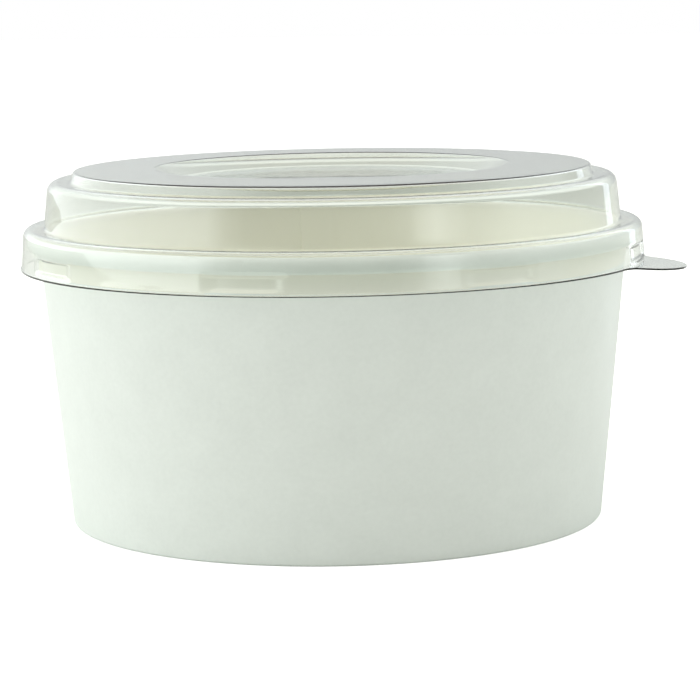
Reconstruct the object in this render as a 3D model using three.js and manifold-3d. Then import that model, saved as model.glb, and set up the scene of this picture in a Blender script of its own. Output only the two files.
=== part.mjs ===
// A round takeaway salad bowl of 150 mm: a tapered paper wall with a rolled rim, a recessed paper base
// disc held in the wall's folded hem, and a clear thermoformed lid that grips under the rim.
// Millimetres, +Z up, standing on Z = 0. The lid's pull tab points along +X.

import * as THREE from "three";
import { mergeVertices } from "three/addons/utils/BufferGeometryUtils.js";
import Module from "manifold-3d";

const wasm = await Module();
wasm.setup();

// Driving dimensions: radii from the bowl's axis, heights from the table.
const GAP = 0.3; // left between pieces that touch
const ROUND_STEPS = 72; // facets round the wall and the base

const PAPER = 0.5; // paperboard thickness
const RIM_RADIUS = 75.0; // outside of the rolled rim
const RIM_HEIGHT = 71.5;
const FOOT_RADIUS = 65.3; // outside of the wall where it stands
const WALL_TAPER = 0.0965; // the wall leans out by this much for each mm up
const HEM_HEIGHT = 5.2; // the wall's folded hem reaches up to here inside
const FLOOR_HEIGHT = 6.3; // middle of the base disc
const ROLL_STEPS = 8;
const ROLL_END = -120; // degrees: where the roll's free edge stops, below its centre
const ROLL_TIGHTENING = 0.8; // the free edge's radius as a share of the roll's

const SHEET = 0.5; // lid thickness
const PANEL_RADIUS = 37.4; // recessed middle panel, at the foot of its sloping side
const PANEL_HEIGHT = 83.2;
const PANEL_EDGE_RADIUS = 43.4;
const PANEL_EDGE_HEIGHT = 86.4;
const PANEL_FOOT_FILLET = 3.0;
const PANEL_EDGE_FILLET = 1.0;
const TOP_RADIUS = 63.1;
const TOP_HEIGHT = 86.1;
const TOP_FILLET = 0.7;
const UPPER_STEP_RADIUS = 63.9; // foot of the short upper step
const UPPER_STEP_HEIGHT = 82.95;
const UPPER_SHOULDER_RADIUS = 69.2;
const UPPER_SHOULDER_HEIGHT = 84.0;
const UPPER_SHOULDER_FILLET = 2.3;
const LOWER_STEP_RADIUS = 70.5; // foot of the tall step, just inside the rolled rim
const LOWER_STEP_HEIGHT = 71.8;
const LOWER_SHOULDER_RADIUS = 75.6;
const LOWER_SHOULDER_HEIGHT = 72.8;
const LOWER_SHOULDER_FILLET = 2.5;
const BAND_RADIUS = 75.95; // snap band, beside the rolled rim
const WAIST_RADIUS = 75.7; // below the rim the band draws in, then flares out to the lip
const WAIST_HEIGHT = 66.2;
const LIP_RADIUS = 76.4;
const LIP_HEIGHT = 62.7;

const LUG_COUNT = 8; // one of them stands over the tab
const LUG_HALF_ANGLE = 7.4; // degrees from a lug's middle to its end
const LUG_END_ANGLE = 1.0; // a lug's end rises over this many degrees
const LUG_DEPTH = 1.2;
const LUG_TOP = 67.8; // the snap edge, just under the roll
const LUG_SHELF = 67.2;
const LUG_FADE = 64.2; // below here the lug runs out into the lip
const LUG_FOOT = 63.3;
const SECTOR_STEPS = 10; // facets round the lid for each lug

const TAB_REACH = 10.7; // beyond the lip
const TAB_HALF_WIDTH = 11.8;
const TAB_BEND_RADIUS = 77.9;
const TAB_DROOP = 0.8; // its tip hangs this far below the lip
const TAB_STEPS = 12;
const TAB_OVERLAP = 0.45; // its root reaches this far into the lip

const SAME_PLACE = 1e-4; // vertices closer together than this are one

/** Points of an arc in the profile plane: angles in degrees, the radius running from one to another. */
function arc(centre, fromRadius, toRadius, fromAngle, toAngle, steps) {
  return Array.from({ length: steps + 1 }, (_, step) => {
    const share = step / steps;
    const angle = THREE.MathUtils.degToRad(THREE.MathUtils.lerp(fromAngle, toAngle, share));
    const radius = THREE.MathUtils.lerp(fromRadius, toRadius, share);
    return new THREE.Vector2(centre.x + radius * Math.cos(angle), centre.y + radius * Math.sin(angle));
  });
}

/** A profile line through [radius, height, fillet, steps] corners, each rounded by its fillet if it has one. */
function filletedLine(corners) {
  const at = (index) => new THREE.Vector2(corners[index][0], corners[index][1]);
  return corners.flatMap(([, , fillet, steps], index) => {
    const corner = at(index);
    if (!fillet) return [corner];
    const back = at(index - 1).sub(corner).normalize();
    const ahead = at(index + 1).sub(corner).normalize();
    const halfAngle = Math.acos(back.dot(ahead)) / 2;
    const start = back.clone().multiplyScalar(fillet / Math.tan(halfAngle));
    const end = ahead.clone().multiplyScalar(fillet / Math.tan(halfAngle));
    const centre = back.add(ahead).normalize().multiplyScalar(fillet / Math.sin(halfAngle));
    const from = start.sub(centre);
    const sweep = Math.atan2(from.cross(end.sub(centre)), from.dot(end));
    return Array.from({ length: steps + 1 }, (_, step) =>
      from.clone().rotateAround(new THREE.Vector2(), (sweep * step) / steps).add(centre).add(corner));
  });
}

/** The line moved sideways by a distance, to the right of its direction, with mitred corners. */
function offsetLine(line, distance) {
  const normals = line.slice(1).map((point, index) => {
    const along = point.clone().sub(line[index]).normalize();
    return new THREE.Vector2(along.y, -along.x);
  });
  return line.map((point, index) => {
    const before = normals[Math.max(index - 1, 0)];
    const after = normals[Math.min(index, normals.length - 1)];
    const mitre = before.clone().add(after).normalize();
    return point.clone().addScaledVector(mitre, distance / mitre.dot(after));
  });
}

/** The outline of a sheet that lies between two offsets of a line. */
function sheetOutline(line, leftOffset, rightOffset) {
  const left = offsetLine(line, -leftOffset);
  const right = offsetLine(line, rightOffset);
  const outline = [...right, ...left.reverse()];
  if (line[0].x > 0) outline.push(outline[0].clone()); // a ring's profile closes on itself
  return outline;
}

/** An outline turned round the Z axis. Angles run from -Y towards +X. */
function turned(outline, steps, startAngle = 0) {
  return new THREE.LatheGeometry(outline, steps, startAngle).rotateX(Math.PI / 2);
}

/** The outside radius of the paper wall at a height. */
function wallRadius(height) {
  return FOOT_RADIUS + WALL_TAPER * height;
}

/** The wall's paper: up the hem, round the foot, up the wall and round the rolled rim. */
function wallGeometry() {
  const hemInset = PAPER / 2 + 2 * (PAPER + GAP); // middle of the hem, inside the base's skirt
  const wallMiddle = (height) => wallRadius(height) - PAPER / 2;
  const wallInside = wallRadius(RIM_HEIGHT) - PAPER;
  const rollRadius = (RIM_RADIUS - wallInside) / 2;
  const rollCentre = new THREE.Vector2(RIM_RADIUS - rollRadius, RIM_HEIGHT - rollRadius);
  const paperRadius = rollRadius - PAPER / 2;
  const roll = arc(rollCentre, paperRadius, paperRadius * ROLL_TIGHTENING, 180, ROLL_END, ROLL_STEPS);
  const line = [
    ...filletedLine([
      [wallRadius(HEM_HEIGHT) - hemInset, HEM_HEIGHT],
      [wallRadius(0) - hemInset, PAPER / 2],
      [wallMiddle(0), PAPER / 2, PAPER, 2],
      [roll[0].x, roll[0].y],
    ]).slice(0, -1),
    ...roll,
  ];
  return turned(sheetOutline(line, PAPER / 2, PAPER / 2), ROUND_STEPS);
}

/** The base disc and the skirt that the wall's hem holds. */
function baseGeometry() {
  const skirtInset = PAPER / 2 + PAPER + GAP;
  const skirtFoot = PAPER + GAP;
  const line = filletedLine([
    [0, FLOOR_HEIGHT],
    [wallRadius(FLOOR_HEIGHT) - skirtInset, FLOOR_HEIGHT, PAPER, 1],
    [wallRadius(skirtFoot) - skirtInset, skirtFoot],
  ]);
  return turned(sheetOutline(line, PAPER / 2, PAPER / 2), ROUND_STEPS);
}

/** How far a lug presses the snap band inwards, at an angle from the lug's middle and a height. */
function lugPress(angle, height) {
  const sideways = THREE.MathUtils.clamp((LUG_HALF_ANGLE - Math.abs(angle)) / LUG_END_ANGLE, 0, 1);
  const down = THREE.MathUtils.clamp((LUG_TOP - height) / (LUG_TOP - LUG_SHELF), 0, 1);
  const up = THREE.MathUtils.clamp((height - LUG_FOOT) / (LUG_FADE - LUG_FOOT), 0, 1);
  return LUG_DEPTH * sideways * Math.min(down, up);
}

/** An even facet angle, counted from a lug's middle, moved so that facets meet the lug's ends. */
function crowdedAngle(even) {
  const half = 180 / LUG_COUNT;
  const facet = 360 / (LUG_COUNT * SECTOR_STEPS);
  const evenStops = [0, facet, 2 * facet, half];
  const movedStops = [0, LUG_HALF_ANGLE - LUG_END_ANGLE, LUG_HALF_ANGLE, half];
  const size = Math.abs(even);
  const stop = Math.max(1, evenStops.findIndex((end) => size <= end + SAME_PLACE));
  const moved = THREE.MathUtils.mapLinear(
    size, evenStops[stop - 1], evenStops[stop], movedStops[stop - 1], movedStops[stop]);
  return Math.sign(even) * moved;
}

/** The outside radius of the lid's flare, between its waist and its lip. */
function flareRadius(height) {
  return THREE.MathUtils.mapLinear(height, WAIST_HEIGHT, LIP_HEIGHT, WAIST_RADIUS, LIP_RADIUS);
}

/** The lid without its tab: one sheet from the middle panel out to the lip, with its lugs pressed in. */
function lidShell() {
  const face = filletedLine([
    [0, PANEL_HEIGHT],
    [PANEL_RADIUS, PANEL_HEIGHT, PANEL_FOOT_FILLET, 2],
    [PANEL_EDGE_RADIUS, PANEL_EDGE_HEIGHT, PANEL_EDGE_FILLET, 1],
    [TOP_RADIUS, TOP_HEIGHT, TOP_FILLET, 2],
    [UPPER_STEP_RADIUS, UPPER_STEP_HEIGHT],
    [UPPER_SHOULDER_RADIUS, UPPER_SHOULDER_HEIGHT, UPPER_SHOULDER_FILLET, 2],
    [LOWER_STEP_RADIUS, LOWER_STEP_HEIGHT],
    [LOWER_SHOULDER_RADIUS, LOWER_SHOULDER_HEIGHT, LOWER_SHOULDER_FILLET, 3],
    [BAND_RADIUS, LUG_TOP],
    [BAND_RADIUS, LUG_SHELF],
    [WAIST_RADIUS, WAIST_HEIGHT],
    [flareRadius(LUG_FADE), LUG_FADE],
    [flareRadius(LUG_FOOT), LUG_FOOT],
    [LIP_RADIUS, LIP_HEIGHT],
  ]);
  const shell = turned(sheetOutline(face, 0, SHEET), LUG_COUNT * SECTOR_STEPS);
  const sector = 360 / LUG_COUNT;
  const place = shell.attributes.position;
  for (let index = 0; index < place.count; index += 1) {
    const radius = Math.hypot(place.getX(index), place.getY(index));
    const height = place.getZ(index);
    const evenAngle = THREE.MathUtils.radToDeg(Math.atan2(place.getX(index), -place.getY(index)));
    const lug = Math.round(evenAngle / sector) * sector;
    const angle = crowdedAngle(evenAngle - lug);
    const turn = THREE.MathUtils.degToRad(lug + angle);
    const pressed = radius - (radius > LOWER_STEP_RADIUS ? lugPress(angle, height) : 0);
    place.setXY(index, pressed * Math.sin(turn), -pressed * Math.cos(turn));
  }
  return shell;
}

/** The pull tab: a rounded tongue on the lip, bent down a little beyond its root. */
function tabGeometry() {
  const rootRadius = LIP_RADIUS - TAB_OVERLAP;
  const rootAngle = Math.asin(TAB_HALF_WIDTH / rootRadius);
  const tongue = new THREE.Shape();
  tongue.absellipse(LIP_RADIUS, 0, TAB_REACH, TAB_HALF_WIDTH, -Math.PI / 2, Math.PI / 2);
  tongue.absarc(0, 0, rootRadius, rootAngle, -rootAngle, true);
  const tab = new THREE.ExtrudeGeometry(tongue, {
    depth: SHEET,
    bevelEnabled: false,
    curveSegments: TAB_STEPS,
  }).translate(0, 0, LIP_HEIGHT);
  const tipRadius = LIP_RADIUS + TAB_REACH;
  const place = tab.attributes.position;
  for (let index = 0; index < place.count; index += 1) {
    const beyond = Math.max(0, Math.hypot(place.getX(index), place.getY(index)) - TAB_BEND_RADIUS);
    place.setZ(index, place.getZ(index) - (TAB_DROOP * beyond) / (tipRadius - TAB_BEND_RADIUS));
  }
  return tab;
}

/** A closed geometry as a solid that can be joined. */
function toSolid(geometry) {
  const bare = geometry.clone();
  bare.deleteAttribute("normal");
  bare.deleteAttribute("uv");
  const merged = mergeVertices(bare.index ? bare.toNonIndexed() : bare, SAME_PLACE);
  const triVerts = new Uint32Array(merged.index.array);
  return new wasm.Manifold(
    new wasm.Mesh({ numProp: 3, vertProperties: merged.attributes.position.array, triVerts }));
}

/** A solid as a geometry again. */
function toGeometry(solid) {
  const { vertProperties, triVerts } = solid.getMesh();
  const geometry = new THREE.BufferGeometry();
  geometry.setAttribute("position", new THREE.BufferAttribute(vertProperties, 3));
  geometry.setIndex(new THREE.BufferAttribute(triVerts, 1));
  geometry.computeVertexNormals();
  return geometry;
}

const coatedPaper = new THREE.MeshStandardMaterial({ color: "#e9eee6", roughness: 0.45, metalness: 0 });
const uncoatedPaper = new THREE.MeshStandardMaterial({ color: "#ece8da", roughness: 0.8, metalness: 0 });
const clearPlastic = new THREE.MeshStandardMaterial({
  color: "#dfe8e2",
  roughness: 0.08,
  metalness: 0,
  transparent: true,
  opacity: 0.35,
});

/** A named piece of the bowl. */
function piece(name, geometry, material) {
  const mesh = new THREE.Mesh(geometry, material);
  mesh.name = name;
  return mesh;
}

const group = new THREE.Group();
group.add(
  piece("bowl_wall", wallGeometry(), coatedPaper),
  piece("bowl_base", baseGeometry(), uncoatedPaper),
  piece("lid", toGeometry(toSolid(lidShell()).add(toSolid(tabGeometry()))), clearPlastic),
);
group.position.x = -TAB_REACH / 2; // the origin is under the middle of the whole, tab included

export default group;
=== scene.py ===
"""The looks of a takeaway salad bowl with its clear lid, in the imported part's frame: metres, +Z up.

Sizes in this script are in mm, apart from those of the floor and the card, which are in metres.
"""

import math

import bpy
import numpy as np
from mathutils import Matrix, Vector, noise


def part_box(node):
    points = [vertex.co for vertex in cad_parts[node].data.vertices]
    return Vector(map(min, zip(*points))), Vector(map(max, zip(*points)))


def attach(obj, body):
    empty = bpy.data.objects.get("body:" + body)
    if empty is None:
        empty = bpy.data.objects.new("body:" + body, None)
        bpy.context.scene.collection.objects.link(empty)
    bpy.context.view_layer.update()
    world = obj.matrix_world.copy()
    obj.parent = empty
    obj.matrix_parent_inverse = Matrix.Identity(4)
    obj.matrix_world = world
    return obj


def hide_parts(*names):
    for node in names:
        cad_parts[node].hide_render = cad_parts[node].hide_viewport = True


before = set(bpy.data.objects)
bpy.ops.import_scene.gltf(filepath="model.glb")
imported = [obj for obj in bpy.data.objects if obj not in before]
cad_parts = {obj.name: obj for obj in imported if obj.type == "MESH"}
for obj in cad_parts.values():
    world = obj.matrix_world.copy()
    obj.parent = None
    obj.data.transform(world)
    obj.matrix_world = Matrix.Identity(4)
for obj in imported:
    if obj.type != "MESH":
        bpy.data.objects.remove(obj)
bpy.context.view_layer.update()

# Bowl wall: one fan-shaped blank of white paperboard with a thin plastic coating on both faces. It is
# wrapped into a cone and sealed along a lap at the back. Its top edge is curled outwards into the white
# rim, and its bottom edge is folded in and up round the base.
MM = 0.001
wall_low, wall_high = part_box("bowl_wall")
AXIS_X = (wall_low.x + wall_high.x) / 2 / MM
RIM_RADIUS = (wall_high.y - wall_low.y) / 2 / MM
RIM_HEIGHT = wall_high.z / MM
FOOT_RADIUS = 65.3
WALL_TAPER = 0.0965
PAPER = 0.5
FIT_GAP = 0.3
HEM_HEIGHT = 5.2
FOLD_RADIUS = 0.5
FOLD_STEPS = 5
ROLL_HEIGHT = 4.4
ROLL_END = math.radians(-120)
ROLL_TIGHTENING = 0.8
ROLL_STEPS = 26
WALL_STEP = 1.8
WALL_COLUMNS = 300
LAP_MIDDLE = math.radians(109)
LAP_WIDTH = 8.5
LAP_THICKNESS = 0.3
LAP_CUT = 0.12
LAP_EASE = 2.6
COCKLE_SIZE = 17.0
COCKLE_DEPTH = 0.05
FOOT_EASE = 4.0
# From this height up, the wall's outside is given the cream: painted warm shade under the lid's band.
PAINTED_SHADE_FROM = 62.7
LAP_COLUMNS = 21


def rounded_line(corners):
    """A profile line through (radius, height, fillet, steps) corners, each rounded by its fillet."""
    points = []
    for index, (radius, height, fillet, steps) in enumerate(corners):
        corner = np.array((radius, height))
        if not fillet:
            points.append(corner)
            continue
        back = np.array(corners[index - 1][:2]) - corner
        ahead = np.array(corners[index + 1][:2]) - corner
        back, ahead = back / np.linalg.norm(back), ahead / np.linalg.norm(ahead)
        half = math.acos(np.clip(back @ ahead, -1, 1)) / 2
        middle = back + ahead
        centre = corner + middle / np.linalg.norm(middle) * fillet / math.sin(half)
        spoke = corner + back * fillet / math.tan(half) - centre
        end = corner + ahead * fillet / math.tan(half) - centre
        sweep = math.atan2(spoke[0] * end[1] - spoke[1] * end[0], spoke @ end)
        for turn in np.linspace(0, sweep, steps + 1):
            cos, sin = math.cos(turn), math.sin(turn)
            points.append(centre + (cos * spoke[0] - sin * spoke[1], sin * spoke[0] + cos * spoke[1]))
    return np.array(points)


def split_line(line, longest):
    """The line with its long stretches cut into even steps."""
    points = [line[0]]
    for start, end in zip(line[:-1], line[1:]):
        steps = max(1, math.ceil(np.linalg.norm(end - start) / longest))
        points += [start + (end - start) * step / steps for step in range(1, steps + 1)]
    return np.array(points)


def line_sides(line):
    """The mitred direction to the right of the line at each of its points."""
    along = np.diff(line, axis=0)
    along /= np.linalg.norm(along, axis=1)[:, None]
    right = np.stack([along[:, 1], -along[:, 0]], axis=1)
    before, after = np.vstack([right[:1], right]), np.vstack([right, right[-1:]])
    mitre = before + after
    mitre /= np.linalg.norm(mitre, axis=1)[:, None]
    return mitre / (mitre * after).sum(axis=1)[:, None]


def smooth_step(value):
    """0 below 0, 1 above 1 and an even S between them."""
    value = np.clip(value, 0, 1)
    return value * value * (3 - 2 * value)


def wavy(angles, line, size, depth):
    """Gentle waves of a thin sheet, in mm, for each angle and line point."""
    waves = np.zeros((len(angles), len(line)))
    for column, angle in enumerate(angles):
        for row, (radius, height) in enumerate(line):
            place = Vector((radius * math.cos(angle), radius * math.sin(angle), height))
            waves[column, row] = noise.noise(place / size)
    return waves * depth


def on_axis(radius, height, angles):
    """Points in metres from radii, heights and angles round the bowl's axis."""
    across = angles[:, None]
    return np.stack([
        (AXIS_X + radius * np.cos(across)) * MM,
        radius * np.sin(across) * MM,
        np.broadcast_to(height, radius.shape) * MM,
    ], axis=2)


def turned_piece(name, points, finishes, row_finish, poles=None, sharp=35):
    """A closed piece from columns of points round the axis; poles close its first and last rows."""
    columns, rows = points.shape[:2]
    grid = np.arange(columns * rows).reshape(columns, rows)
    vertices = points.reshape(-1, 3)
    beside = np.roll(grid, -1, axis=0)
    last = rows if poles is None else rows - 1
    above = np.roll(grid, -1, axis=1)[:, :last]
    above_beside = np.roll(beside, -1, axis=1)[:, :last]
    quads = np.stack([grid[:, :last], beside[:, :last], above_beside, above], axis=2)
    faces = quads.reshape(-1, 4).tolist()
    finish = np.tile(row_finish[:last], columns).tolist()
    if poles is not None:
        first_pole = len(vertices)
        vertices = np.vstack([vertices, poles])
        for column in range(columns):
            faces.append((first_pole, int(beside[column, 0]), int(grid[column, 0])))
            faces.append((first_pole + 1, int(grid[column, -1]), int(beside[column, -1])))
        finish += [row_finish[0], row_finish[-1]] * columns
    halves = [half for face in faces for half in (face[:3], (face[0], face[-2], face[-1]))]
    corners = vertices[halves] - vertices.mean(axis=0)
    if np.einsum("ij,ij->", corners[:, 0], np.cross(corners[:, 1], corners[:, 2])) < 0:
        faces = [face[::-1] for face in faces]
    mesh = bpy.data.meshes.new(name)
    mesh.from_pydata(vertices.tolist(), [], faces)
    for material in finishes:
        mesh.materials.append(material)
    mesh.polygons.foreach_set("material_index", finish)
    mesh.shade_smooth()
    mesh.set_sharp_from_angle(angle=math.radians(sharp))
    mesh.update()
    piece = bpy.data.objects.new(name, mesh)
    bpy.context.scene.collection.objects.link(piece)
    return piece


def linear(hex_colour):
    """An sRGB hex colour as linear red, green, blue and alpha."""
    shares = [int(hex_colour[start:start + 2], 16) / 255 for start in (1, 3, 5)]
    return [c / 12.92 if c <= 0.04045 else ((c + 0.055) / 1.055) ** 2.4 for c in shares] + [1.0]


def add_node(tree, kind, settings=(), links=()):
    """Adds a node with its settings, (input or property, value), and links, (input, source)."""
    node = tree.nodes.new(kind)
    for name, value in settings:
        if isinstance(name, int) or name in node.inputs:
            node.inputs[name].default_value = value
        else:
            setattr(node, name, value)
    for name, source in links:
        tree.links.new(source, node.inputs[name])
    return node


def new_tree(name):
    """A new material and its emptied node tree."""
    material = bpy.data.materials.new(name)
    material.use_nodes = True
    material.node_tree.nodes.clear()
    return material, material.node_tree


# The board's outside: bleached paperboard, extrusion-coated. It is smooth and satin, its whiteness mottled
# by the fibres under the coating.
FIBRE_CLUMP = 1.1
MOTTLE_SIZE = 9.0
FIBRE_RELIEF = 0.006
board_white, tree = new_tree("coated_white_board")
place = add_node(tree, "ShaderNodeTexCoord").outputs["Object"]
clumps = add_node(
    tree, "ShaderNodeTexNoise", [("Scale", 1 / (FIBRE_CLUMP * MM)), ("Detail", 3.0)], [("Vector", place)])
mottle = add_node(
    tree, "ShaderNodeTexNoise", [("Scale", 1 / (MOTTLE_SIZE * MM)), ("Detail", 2.0)], [("Vector", place)])
both = add_node(
    tree, "ShaderNodeMath", [("operation", "ADD")],
    [(0, clumps.outputs["Fac"]), (1, mottle.outputs["Fac"])],
)
share = add_node(
    tree, "ShaderNodeMapRange", [("From Min", 0.6), ("From Max", 1.4)], [("Value", both.outputs[0])])
white = add_node(
    tree, "ShaderNodeMix",
    [("data_type", "RGBA"), (6, linear("#E8EDE8")), (7, linear("#EEF3EE"))],
    [(0, share.outputs[0])],
)
gloss = add_node(
    tree, "ShaderNodeMapRange", [("To Min", 0.3), ("To Max", 0.38)], [("Value", share.outputs[0])])
relief = add_node(
    tree, "ShaderNodeBump", [("Strength", 0.5), ("Distance", FIBRE_RELIEF * MM)],
    [("Height", clumps.outputs["Fac"])],
)
surface = add_node(
    tree, "ShaderNodeBsdfPrincipled", [("IOR", 1.5)],
    [("Base Color", white.outputs[2]), ("Roughness", gloss.outputs[0]), ("Normal", relief.outputs[0])],
)
add_node(tree, "ShaderNodeOutputMaterial", links=[("Surface", surface.outputs[0])])

# The board's inside, creamy under the clear food-safe coating. The same cream also goes on its outside just
# below the rim, in the gap under the lid's band: there it is painted shade, standing in for the warm light
# bounced about in that gap.
cream_board_and_shade, tree = new_tree("cream_board_and_painted_shade")
place = add_node(tree, "ShaderNodeTexCoord").outputs["Object"]
clumps = add_node(
    tree, "ShaderNodeTexNoise", [("Scale", 1 / (FIBRE_CLUMP * MM)), ("Detail", 3.0)], [("Vector", place)])
cream = add_node(
    tree, "ShaderNodeMix",
    [("data_type", "RGBA"), (6, linear("#F2F2E6")), (7, linear("#F8F7EC"))],
    [(0, clumps.outputs["Fac"])],
)
relief = add_node(
    tree, "ShaderNodeBump", [("Strength", 0.5), ("Distance", FIBRE_RELIEF * MM)],
    [("Height", clumps.outputs["Fac"])],
)
surface = add_node(
    tree, "ShaderNodeBsdfPrincipled", [("IOR", 1.5), ("Roughness", 0.42)],
    [("Base Color", cream.outputs[2]), ("Normal", relief.outputs[0])],
)
add_node(tree, "ShaderNodeOutputMaterial", links=[("Surface", surface.outputs[0])])


def wall_radius(height):
    """The outside radius of the wall at a height."""
    return FOOT_RADIUS + WALL_TAPER * height


def lap_height(angles, direction):
    """How far a face stands out at the lap: a cut edge on one side, an eased one on the other."""
    along = (angles - LAP_MIDDLE) * wall_radius(RIM_HEIGHT) * direction
    cut = smooth_step((along + LAP_WIDTH / 2) / LAP_CUT)
    eased = 1 - smooth_step((along - LAP_WIDTH / 2) / LAP_EASE)
    return LAP_THICKNESS * cut * eased


roll_radius = (RIM_RADIUS - wall_radius(RIM_HEIGHT) + PAPER) / 2
roll_turns = np.linspace(math.pi, ROLL_END, ROLL_STEPS + 1)
roll_reach = (roll_radius - PAPER / 2) * np.linspace(1, ROLL_TIGHTENING, ROLL_STEPS + 1)
roll_oval = (ROLL_HEIGHT - PAPER) / (2 * roll_radius - PAPER)
roll = np.stack([
    RIM_RADIUS - roll_radius + roll_reach * np.cos(roll_turns),
    RIM_HEIGHT - ROLL_HEIGHT / 2 + roll_reach * np.sin(roll_turns) * roll_oval,
], axis=1)
hem_inset = PAPER / 2 + 2 * (PAPER + FIT_GAP)
board_line = rounded_line([
    (wall_radius(HEM_HEIGHT) - hem_inset, HEM_HEIGHT, 0, 0),
    (wall_radius(0) - hem_inset, PAPER / 2, FOLD_RADIUS, FOLD_STEPS),
    (wall_radius(0) - PAPER / 2, PAPER / 2, FOLD_RADIUS, FOLD_STEPS),
    (wall_radius(PAINTED_SHADE_FROM) - PAPER / 2, PAINTED_SHADE_FROM, 0, 0),
    (*roll[0], 0, 0),
])
board_line = split_line(np.vstack([board_line, roll[1:]]), WALL_STEP)
lap_ease = np.linspace(-LAP_EASE, LAP_EASE, LAP_COLUMNS) ** 3 / LAP_EASE ** 2
lap_edges = np.array([-LAP_WIDTH / 2, LAP_WIDTH / 2])[:, None] + lap_ease
lap_angles = LAP_MIDDLE + lap_edges.ravel() / wall_radius(RIM_HEIGHT)
wall_angles = np.concatenate([np.linspace(-math.pi, math.pi, WALL_COLUMNS, endpoint=False), lap_angles])
wall_angles = np.unique(wall_angles.round(6))
sides = line_sides(board_line)
above_foot = smooth_step((board_line[:, 1] - PAPER) / FOOT_EASE)
cockle = wavy(wall_angles, board_line, COCKLE_SIZE, COCKLE_DEPTH) * above_foot
outwards = PAPER / 2 + lap_height(wall_angles, 1)[:, None] * above_foot + cockle
inwards = -PAPER / 2 - lap_height(wall_angles, -1)[:, None] * above_foot + cockle
outside = board_line + sides * outwards[:, :, None]
inside = (board_line + sides * inwards[:, :, None])[:, ::-1]
around = np.concatenate([outside, inside], axis=1)
top_row = board_line[:, 1].argmax()
# Outside rows from that height up take the cream as painted warm shade; the rest take the white board.
outside_finish = [int(height.round(3) >= PAINTED_SHADE_FROM) for height in board_line[:-1, 1]]
inside_finish = [int(row <= top_row) for row in range(len(board_line) - 1, 0, -1)]
row_finish = outside_finish + [1] + inside_finish + [1]
wall = turned_piece(
    "wall_board", on_axis(around[:, :, 0], around[:, :, 1], wall_angles),
    [board_white, cream_board_and_shade], row_finish,
)
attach(wall, "root")
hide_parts("bowl_wall")

# Base: a disc of the same board, pressed flat with its edge turned down into a skirt. The wall's hem grips
# the skirt, which holds the disc a few millimetres off the table.
FLOOR_HEIGHT = 6.3
DISC_BEND = 1.2
DISC_BEND_STEPS = 7
DISC_STEP = 4.0
DISC_COLUMNS = 240
skirt_inset = PAPER / 2 + PAPER + FIT_GAP
skirt_foot = PAPER + FIT_GAP
disc_line = split_line(rounded_line([
    (0.0, FLOOR_HEIGHT, 0, 0),
    (wall_radius(FLOOR_HEIGHT) - skirt_inset, FLOOR_HEIGHT, DISC_BEND, DISC_BEND_STEPS),
    (wall_radius(skirt_foot) - skirt_inset, skirt_foot, 0, 0),
]), DISC_STEP)[1:]
disc_angles = np.linspace(-math.pi, math.pi, DISC_COLUMNS, endpoint=False)
sides = line_sides(disc_line)
cockle = wavy(disc_angles, disc_line, COCKLE_SIZE, COCKLE_DEPTH)
cockle *= smooth_step((wall_radius(0) - 2 * hem_inset - disc_line[:, 0]) / DISC_STEP)
upper = disc_line + sides * (cockle - PAPER / 2)[:, :, None]
lower = (disc_line + sides * (cockle + PAPER / 2)[:, :, None])[:, ::-1]
around = np.concatenate([upper, lower], axis=1)
poles = np.array([(AXIS_X, 0, FLOOR_HEIGHT + PAPER / 2), (AXIS_X, 0, FLOOR_HEIGHT - PAPER / 2)]) * MM
row_finish = [1] * len(disc_line) + [0] * len(disc_line)
base = turned_piece(
    "base_board", on_axis(around[:, :, 0], around[:, :, 1], disc_angles),
    [board_white, cream_board_and_shade], row_finish, poles,
)
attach(base, "root")
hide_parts("bowl_base")

# Lid: one sheet of clear plastic, drawn over a mould while hot and cut out. From the middle outwards it has
# a sunk panel, a flat top, two steps, the band that goes over the bowl's rim, eight lugs pressed in under
# the rim, and the flared lip with its pull tab.
SHEET = 0.45
# The corners of its section: radius, height, fillet and the steps round the fillet.
PANEL = (37.4, 83.2, 3.0, 8)
PANEL_EDGE = (43.4, 86.35, 1.0, 6)
TOP_EDGE = (63.1, 86.1, 0.7, 6)
UPPER_FOOT = (63.9, 83.45, 0.7, 6)
UPPER_SHOULDER = (69.2, 84.0, 2.3, 9)
LOWER_FOOT = (70.5, 72.3, 0.7, 6)
LOWER_SHOULDER = (75.47, 72.8, 1.9, 11)
BAND_TOP = (75.62, 70.7)
BAND_FOOT = (76.14, 63.3)
BAND_ROWS = 23
LIP_RADIUS = 76.4
LIP_HEIGHT = 62.7
LIP_FILLET = 0.12
LIP_FILLET_STEPS = 4
LID_STEP = 3.2
LID_COLUMNS = 280
CROWDED_TURN = 0.004
DOUBLE_TURN = 0.0008
LUG_COUNT = 8
LUG_HALF = math.radians(7.7)
LUG_END = math.radians(2.8)
LUG_END_MARGIN = 0.15
LUG_END_COLUMNS = 7
LUG_DEPTH = 0.7
LUG_TOP = 68.1
LUG_SHELF = 66.9
LUG_FADE = 64.6
LUG_FOOT = 63.3
SHEET_WAVE = 13.0
SHEET_WAVE_DEPTH = 0.03
SHEET_WAVE_EASE = 2.0
TAB_REACH = 10.7
TAB_HALF_WIDTH = 11.8
TAB_BLEND = 4.0
TAB_FAN = 66.0
TAB_SPREAD = math.radians(13.5)
TAB_MARGIN = 1.03
TAB_RAY_REACH = (0.98, 3.0)
TAB_RAY_HALVINGS = 40
TAB_COLUMNS = 61
TAB_BEND_RADIUS = 77.9
TAB_DROOP = 0.8
FLANGE_ROWS = 9


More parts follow.
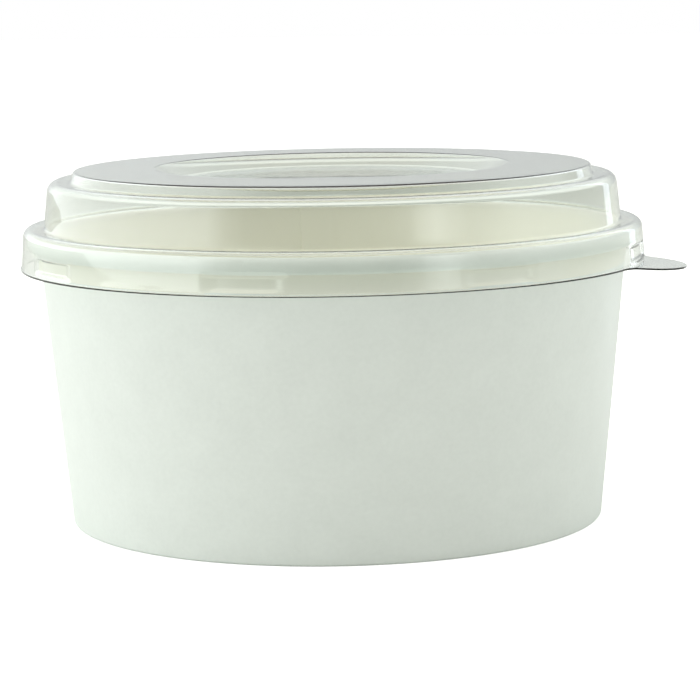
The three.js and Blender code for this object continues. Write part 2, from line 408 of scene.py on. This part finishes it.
def tab_edge(angle):
    """Where the cut outline lies on the ray from the tab's fan point through the lip, by halving."""
    start = np.array((TAB_FAN, 0.0))
    ray = LIP_RADIUS * np.array((math.cos(angle), math.sin(angle))) - start
    near, far = TAB_RAY_REACH
    for _ in range(TAB_RAY_HALVINGS):
        reach = (near + far) / 2
        x, y = start + ray * reach
        to_lip = math.hypot(x, y) - LIP_RADIUS
        to_tongue = (math.hypot((x - LIP_RADIUS) / TAB_REACH, y / TAB_HALF_WIDTH) - 1) * TAB_REACH
        mix = np.clip(0.5 + 0.5 * (to_tongue - to_lip) / TAB_BLEND, 0, 1)
        outside_by = to_tongue * (1 - mix) + to_lip * mix - TAB_BLEND * mix * (1 - mix)
        near, far = (reach, far) if outside_by < 0 else (near, reach)
    return start + ray * near


def lug_press(angles, heights):
    """How far the lugs press the band inwards, for each angle and each height."""
    sector = 2 * math.pi / LUG_COUNT
    from_middle = (angles + sector / 2) % sector - sector / 2
    sideways = smooth_step((LUG_HALF - np.abs(from_middle)) / LUG_END)
    shelf = smooth_step((LUG_TOP - heights) / (LUG_TOP - LUG_SHELF))
    fade = smooth_step((heights - LUG_FOOT) / (LUG_FADE - LUG_FOOT))
    return LUG_DEPTH * sideways[:, None] * np.minimum(shelf, fade)[None, :]


lip_top = LIP_HEIGHT + SHEET
sheet_line = split_line(rounded_line([
    (0.0, PANEL[1], 0, 0),
    PANEL,
    PANEL_EDGE,
    TOP_EDGE,
    UPPER_FOOT,
    UPPER_SHOULDER,
    LOWER_FOOT,
    LOWER_SHOULDER,
    *[(*point, 0, 0) for point in np.linspace(BAND_TOP, BAND_FOOT, BAND_ROWS)],
    (BAND_FOOT[0], lip_top, LIP_FILLET, LIP_FILLET_STEPS),
    (BAND_FOOT[0] + 2 * LIP_FILLET, lip_top, 0, 0),
]), LID_STEP)[1:]
# Columns of points stand closer at the lugs' ends and round the tab, and the even ones make room there.
lug_middles = np.arange(LUG_COUNT) * 2 * math.pi / LUG_COUNT
lug_ends = LUG_HALF + LUG_END * np.linspace(-1 - LUG_END_MARGIN, LUG_END_MARGIN, LUG_END_COLUMNS)
lug_angles = (lug_middles[:, None] + np.concatenate([-lug_ends, lug_ends])).ravel()
lug_angles = (lug_angles + math.pi) % (2 * math.pi) - math.pi
tab_angles = np.linspace(-TAB_SPREAD, TAB_SPREAD, TAB_COLUMNS)
even_angles = np.linspace(-math.pi, math.pi, LID_COLUMNS, endpoint=False)
even_angles = even_angles[np.abs(even_angles) > TAB_SPREAD * TAB_MARGIN]
taken = lug_angles[np.abs(lug_angles) > TAB_SPREAD * TAB_MARGIN]
even_angles = even_angles[np.abs(even_angles[:, None] - taken[None, :]).min(axis=1) > CROWDED_TURN]
lid_angles = np.sort(np.concatenate([even_angles, lug_angles, tab_angles]))
lid_angles = lid_angles[np.concatenate([[True], np.diff(lid_angles) > DOUBLE_TURN])]

sides = line_sides(sheet_line)
waves = wavy(lid_angles, sheet_line, SHEET_WAVE, SHEET_WAVE_DEPTH)
waves *= smooth_step((sheet_line[:, 1] - lip_top) / SHEET_WAVE_EASE)
press = lug_press(lid_angles, sheet_line[:, 1])
outer = sheet_line - sides * waves[:, :, None]
inner = sheet_line + sides * (SHEET - waves)[:, :, None]
outer[:, :, 0] -= press
inner[:, :, 0] -= press
outer_points = on_axis(outer[:, :, 0], outer[:, :, 1], lid_angles)
inner_points = on_axis(inner[:, :, 0], inner[:, :, 1], lid_angles)
flange = np.zeros((len(lid_angles), FLANGE_ROWS, 3))
tip_radius = LIP_RADIUS + TAB_REACH
for column, angle in enumerate(lid_angles):
    direction = np.array((math.cos(angle), math.sin(angle)))
    root = sheet_line[-1, 0] * direction
    edge = tab_edge(angle) if abs(angle) < TAB_SPREAD else LIP_RADIUS * direction
    for row in range(FLANGE_ROWS):
        x, y = root + (edge - root) * (row + 1) / FLANGE_ROWS
        beyond = max(0.0, math.hypot(x, y) - TAB_BEND_RADIUS)
        droop = TAB_DROOP * beyond / (tip_radius - TAB_BEND_RADIUS)
        flange[column, row] = np.array((AXIS_X + x, y, lip_top - droop)) * MM
flange_under = flange - np.array((0, 0, SHEET * MM))
around = np.concatenate([outer_points, flange, flange_under[:, ::-1], inner_points[:, ::-1]], axis=1)

# Clear PET sheet: glossy from the polished mould, with a faint green-grey tint that deepens where the eye
# looks along the sheet, as at its cut edges. Light shines straight through it, but for the share that a
# slanting ray loses to reflection.
clear_pet, tree = new_tree("clear_pet_sheet")
glass = add_node(
    tree, "ShaderNodeBsdfPrincipled",
    [("Base Color", linear("#FCFEFC")), ("Roughness", 0.03), ("IOR", 1.57), ("Transmission Weight", 1.0)],
)
slant = add_node(tree, "ShaderNodeLayerWeight", [("Blend", 0.5)])
mirrored = add_node(
    tree, "ShaderNodeMath", [("operation", "POWER"), (1, 5.0)], [(0, slant.outputs["Facing"])])
passed = add_node(
    tree, "ShaderNodeMix", [("data_type", "RGBA"), (6, linear("#FCFDFC")), (7, linear("#000000"))],
    [(0, mirrored.outputs[0])],
)
pane = add_node(tree, "ShaderNodeBsdfTransparent", links=[("Color", passed.outputs[2])])
rays = add_node(tree, "ShaderNodeLightPath")
lamp_clear = add_node(
    tree, "ShaderNodeMixShader",
    links=[(0, rays.outputs["Is Shadow Ray"]), (1, glass.outputs[0]), (2, pane.outputs[0])],
)
clear = add_node(
    tree, "ShaderNodeMixShader",
    links=[(0, rays.outputs["Is Diffuse Ray"]), (1, lamp_clear.outputs[0]), (2, pane.outputs[0])],
)
tint = add_node(tree, "ShaderNodeVolumeAbsorption", [("Color", linear("#C9D6CB")), ("Density", 80.0)])
add_node(
    tree, "ShaderNodeOutputMaterial", links=[("Surface", clear.outputs[0]), ("Volume", tint.outputs[0])])

poles = np.array([(AXIS_X, 0, PANEL[1]), (AXIS_X, 0, PANEL[1] - SHEET)]) * MM
lid = turned_piece("lid_sheet", around, [clear_pet], [0] * around.shape[1], poles)
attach(lid, "root")
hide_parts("lid")

# Floor: a plain, pale, matt sweep of paper. About a metre behind the bowl its colour is darker, a painted
# shade, which shows through the upper part of the lid. To the camera it also glows a little, so that it
# shows white.
FLOOR_SIZE = 8.0
SHADE_PLACE = (-0.27, 1.0, 0.0)
SHADE_CORE = 0.1
SHADE_ENDS = 0.44
floor_mesh = bpy.data.meshes.new("floor")
half = FLOOR_SIZE / 2
floor_corners = [(-half, -half, 0), (half, -half, 0), (half, half, 0), (-half, half, 0)]
floor_mesh.from_pydata(floor_corners, [], [(0, 1, 2, 3)])
floor = bpy.data.objects.new("floor", floor_mesh)
bpy.context.scene.collection.objects.link(floor)
sweep, tree = new_tree("white_sweep")
place = add_node(tree, "ShaderNodeTexCoord").outputs["Object"]
from_shade = add_node(
    tree, "ShaderNodeVectorMath", [("operation", "DISTANCE"), (1, SHADE_PLACE)], [(0, place)])
clearing = add_node(
    tree, "ShaderNodeMapRange",
    [("interpolation_type", "SMOOTHSTEP"), ("From Min", SHADE_CORE), ("From Max", SHADE_ENDS)],
    [("Value", from_shade.outputs["Value"])],
)
paleness = add_node(
    tree, "ShaderNodeMix", [("data_type", "RGBA"), (6, linear("#AEB2AD")), (7, linear("#E2E6E2"))],
    [(0, clearing.outputs[0])],
)
matt = add_node(tree, "ShaderNodeBsdfDiffuse", links=[("Color", paleness.outputs[2])])
lit = add_node(tree, "ShaderNodeEmission", [("Color", (1, 1, 1, 1)), ("Strength", 0.6)])
glow = add_node(tree, "ShaderNodeAddShader", links=[(0, matt.outputs[0]), (1, lit.outputs[0])])
rays = add_node(tree, "ShaderNodeLightPath")
seen = add_node(
    tree, "ShaderNodeMixShader",
    links=[(0, rays.outputs["Is Camera Ray"]), (1, matt.outputs[0]), (2, glow.outputs[0])],
)
add_node(tree, "ShaderNodeOutputMaterial", links=[("Surface", seen.outputs[0])])
floor_mesh.materials.append(sweep)

# Camera: as the photograph was taken, from a little above, with a long lens and a slight roll. The lid's
# tab then points to the right and towards the camera.
VIEW_TURN = math.radians(15.0)
CAMERA_PLACE = Vector((3.71, -695.0, 136.8))
CAMERA_PITCH = math.radians(7.896)
CAMERA_ROLL = math.radians(1.008)
FOCAL_PIXELS = 2840.7
IMAGE_PIXELS = 700
SENSOR = 36.0
camera_data = bpy.data.cameras.new("camera")
camera_data.sensor_width = SENSOR
camera_data.lens = SENSOR * FOCAL_PIXELS / IMAGE_PIXELS
camera = bpy.data.objects.new("camera", camera_data)
turn = Matrix.Rotation(VIEW_TURN, 4, "Z")
camera_place = turn @ (CAMERA_PLACE * MM) + Vector((AXIS_X * MM, 0, 0))
tilt = Matrix.Rotation(math.pi / 2 - CAMERA_PITCH, 4, "X") @ Matrix.Rotation(-CAMERA_ROLL, 4, "Z")
camera.matrix_world = Matrix.Translation(camera_place) @ turn @ tilt
bpy.context.scene.collection.objects.link(camera)
bpy.context.scene.camera = camera

# Studio: a light tent of white cloth round the bowl, brighter on the left than on the right, dark behind
# the camera and a little warmer overhead. It is lit in three rings: near the table, above it and overhead.
# A stop is an azimuth, 0 towards the camera and positive to the right, and the ring's brightness there.
# The brightnesses come from a least-squares fit to the photograph's tones, then rounded and adjusted.
TENT_LOW = [
    (-180, 0.72), (-165, 0.95), (-150, 1.6), (-120, 1.9), (-90, 2.1), (-50, 1.9), (-42, 0.6), (-34, 0.1),
    (-20, 0.0), (22, 0.0), (30, 0.35), (35, 1.2), (41, 1.75), (55, 0.7), (80, 1.1), (105, 0.8), (140, 0.7),
    (150, 0.85), (165, 0.7), (180, 0.72),
]
TENT_MIDDLE = [
    (-180, 0.8), (-135, 1.6), (-90, 2.4), (-60, 1.9), (-30, 0.4), (-10, 0.0), (30, 0.0), (60, 0.7),
    (90, 1.8), (135, 1.2), (180, 0.8),
]
TENT_TOP = [(-180, 0.9), (-90, 1.25), (0, 1.7), (90, 1.25), (180, 0.9)]
SIDE_LIGHT = "#FAFEFD"
TOP_LIGHT = "#FFF9F3"
LOW_UP_TO = math.radians(9)
MIDDLE_FROM = math.radians(16)
MIDDLE_UP_TO = math.radians(38)
TOP_FROM = math.radians(55)
world = bpy.data.worlds.new("light_tent")
bpy.context.scene.world = world
world.use_nodes = True
tree = world.node_tree
tree.nodes.clear()
look = add_node(tree, "ShaderNodeTexCoord").outputs["Generated"]
from_camera = add_node(
    tree, "ShaderNodeVectorRotate", [("rotation_type", "Z_AXIS"), ("Angle", -VIEW_TURN)],
    [("Vector", look)],
)
parts = add_node(tree, "ShaderNodeSeparateXYZ", links=[(0, from_camera.outputs[0])])
towards = add_node(tree, "ShaderNodeMath", [("operation", "MULTIPLY"), (1, -1.0)], [(0, parts.outputs[1])])
azimuth = add_node(
    tree, "ShaderNodeMath", [("operation", "ARCTAN2")], [(0, parts.outputs[0]), (1, towards.outputs[0])])
round_share = add_node(
    tree, "ShaderNodeMapRange", [("From Min", -math.pi), ("From Max", math.pi)],
    [("Value", azimuth.outputs[0])],
)
BRIGHTEST = max(value for _, value in TENT_LOW + TENT_MIDDLE + TENT_TOP)


def tent_ring(stops, light):
    """The tent's colour round the bowl, as a share of its brightest stop."""
    ring = add_node(tree, "ShaderNodeValToRGB", links=[(0, round_share.outputs[0])])
    ramp = ring.color_ramp
    while len(ramp.elements) < len(stops):
        ramp.elements.new(1.0)
    for element, (degrees, value) in zip(ramp.elements, stops):
        element.position = degrees / 360 + 0.5
        element.color = [value / BRIGHTEST * part for part in linear(light)[:3]] + [1.0]
    return ring.outputs[0]


def joined_rings(below, above, start, end):
    """The lower ring up to one elevation and the upper one from another, blended between them."""
    share = add_node(
        tree, "ShaderNodeMapRange",
        [("interpolation_type", "SMOOTHSTEP"), ("From Min", math.sin(start)), ("From Max", math.sin(end))],
        [("Value", parts.outputs[2])],
    )
    return add_node(
        tree, "ShaderNodeMix", [("data_type", "RGBA")],
        [(0, share.outputs[0]), (6, below), (7, above)],
    ).outputs[2]


low = tent_ring(TENT_LOW, SIDE_LIGHT)
middle = tent_ring(TENT_MIDDLE, SIDE_LIGHT)
top = tent_ring(TENT_TOP, TOP_LIGHT)
around_sides = joined_rings(low, middle, LOW_UP_TO, MIDDLE_FROM)
all_round = joined_rings(around_sides, top, MIDDLE_UP_TO, TOP_FROM)
tent = add_node(tree, "ShaderNodeBackground", [("Strength", BRIGHTEST)], [("Color", all_round)])
plain = add_node(tree, "ShaderNodeBackground", [("Color", (1, 1, 1, 1)), ("Strength", 1.0)])
rays = add_node(tree, "ShaderNodeLightPath")
seen = add_node(
    tree, "ShaderNodeMixShader",
    links=[(0, rays.outputs["Is Camera Ray"]), (1, tent.outputs[0]), (2, plain.outputs[0])],
)
add_node(tree, "ShaderNodeOutputWorld", links=[("Surface", seen.outputs[0])])
bpy.context.scene.view_settings.view_transform = "Standard"

# Card: a narrow area light in the place of a bright reflector, upright on the table behind the bowl on the
# right. It gives the wall and the risers their upright highlight on that side.
CARD_SIZE = (0.035, 0.3)
CARD_PLACE = Vector((0.204, 0.162, 0.151))
CARD_BRIGHTNESS = 0.8
card_data = bpy.data.lights.new("card", "AREA")
card_data.shape = "RECTANGLE"
card_data.size, card_data.size_y = CARD_SIZE
card_data.color = linear("#E8F0FF")[:3]
card_data.energy = CARD_BRIGHTNESS * math.pi * CARD_SIZE[0] * CARD_SIZE[1]
card = bpy.data.objects.new("card", card_data)
to_axis = turn @ Vector((-CARD_PLACE.x, -CARD_PLACE.y, 0))
facing = to_axis.to_track_quat("-Z", "Y").to_matrix().to_4x4()
card.matrix_world = Matrix.Translation(turn @ CARD_PLACE + Vector((AXIS_X * MM, 0, 0))) @ facing
card.visible_camera = False
bpy.context.scene.collection.objects.link(card)
